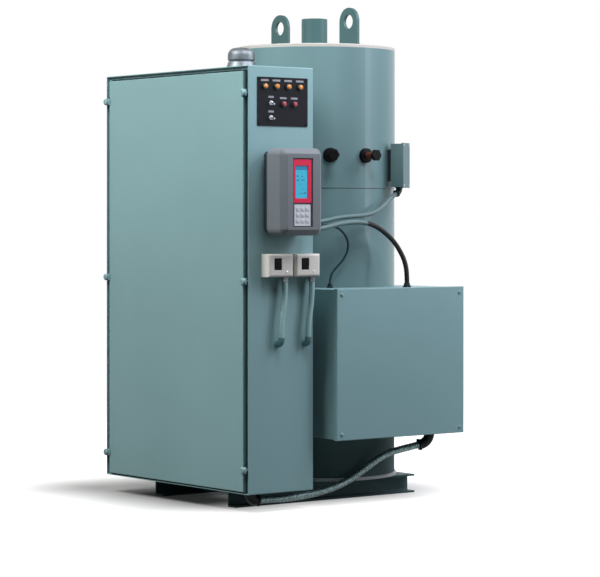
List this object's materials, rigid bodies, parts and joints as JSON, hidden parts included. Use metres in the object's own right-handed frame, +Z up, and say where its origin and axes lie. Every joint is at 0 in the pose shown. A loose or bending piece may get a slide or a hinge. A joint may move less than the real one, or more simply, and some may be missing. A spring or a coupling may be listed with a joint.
{
  "type": "industrial boiler",
  "caption": "Vertical electric boiler on a skid: a flat control cabinet in front of a round jacketed vessel with a heating element housing, lifting lugs and flexible conduits.",
  "frame": {"origin": "on the floor under the middle of the whole object", "axes": "+X to the right of the cabinet's front, +Y back from the cabinet to the vessel, +Z up"},
  "size_m": [1.039, 0.99, 1.848],
  "materials": {
    "teal_paint": "satin enamel",
    "black_paint": "matt enamel",
    "pale_steel": "bare plate",
    "zinc": "zinc plated",
    "iron": "dark cast",
    "beige_paint": "satin enamel",
    "black_glass": "gloss",
    "grey_case": "fine texture",
    "dark_case": "fine texture",
    "red_bezel": "satin",
    "blue_screen": "backlit",
    "pale_keypad": "membrane",
    "black_panel": "matt",
    "amber_lens": "lens",
    "red_lens": "lens",
    "chrome": "plated",
    "grey_conduit": "sheathed",
    "black_lead": "sheathed"
  },
  "bodies": {
    "root": {"cabinet_body": "teal_paint", "cabinet_cover": "teal_paint", "cabinet_glands": "iron", "controller_base": "dark_case", "controller_bezel": "red_bezel", "controller_case": "grey_case", "controller_keypad": "pale_keypad", "controller_screen": "blue_screen", "cover_clamps_left": "teal_paint", "cover_clamps_right": "teal_paint", "cross_members": "black_paint", "element_glands": "iron", "element_housing": "teal_paint", "element_lead": "black_lead", "element_lid": "teal_paint", "jacket_lower": "teal_paint", "jacket_upper": "teal_paint", "junction_box": "teal_paint", "junction_bracket": "teal_paint", "junction_cover": "teal_paint", "junction_elbow": "iron", "junction_lead": "grey_conduit", "level_probe_front": "iron", "level_probe_side": "iron", "lifting_lug_left": "teal_paint", "lifting_lug_right": "teal_paint", "limit_conduit_front": "grey_conduit", "limit_conduit_rear": "grey_conduit", "limit_connectors": "zinc", "limit_control_front": "beige_paint", "limit_control_rear": "beige_paint", "limit_dials": "black_glass", "limit_elbows": "black_paint", "outlet_nozzle": "teal_paint", "panel_lamps_amber": "amber_lens", "panel_lamps_red": "red_lens", "panel_plate": "black_panel", "panel_switches": "chrome", "sensor_lead": "black_lead", "skid_rail_left": "black_paint", "skid_rail_right": "black_paint", "supply_conduit": "grey_conduit", "supply_elbow": "iron", "supply_entry_elbow": "iron", "supply_hub": "zinc", "supply_hub_cap": "zinc", "vessel_base_plate": "pale_steel", "vessel_top_plate": "pale_steel"}
  },
  "joints": []
}
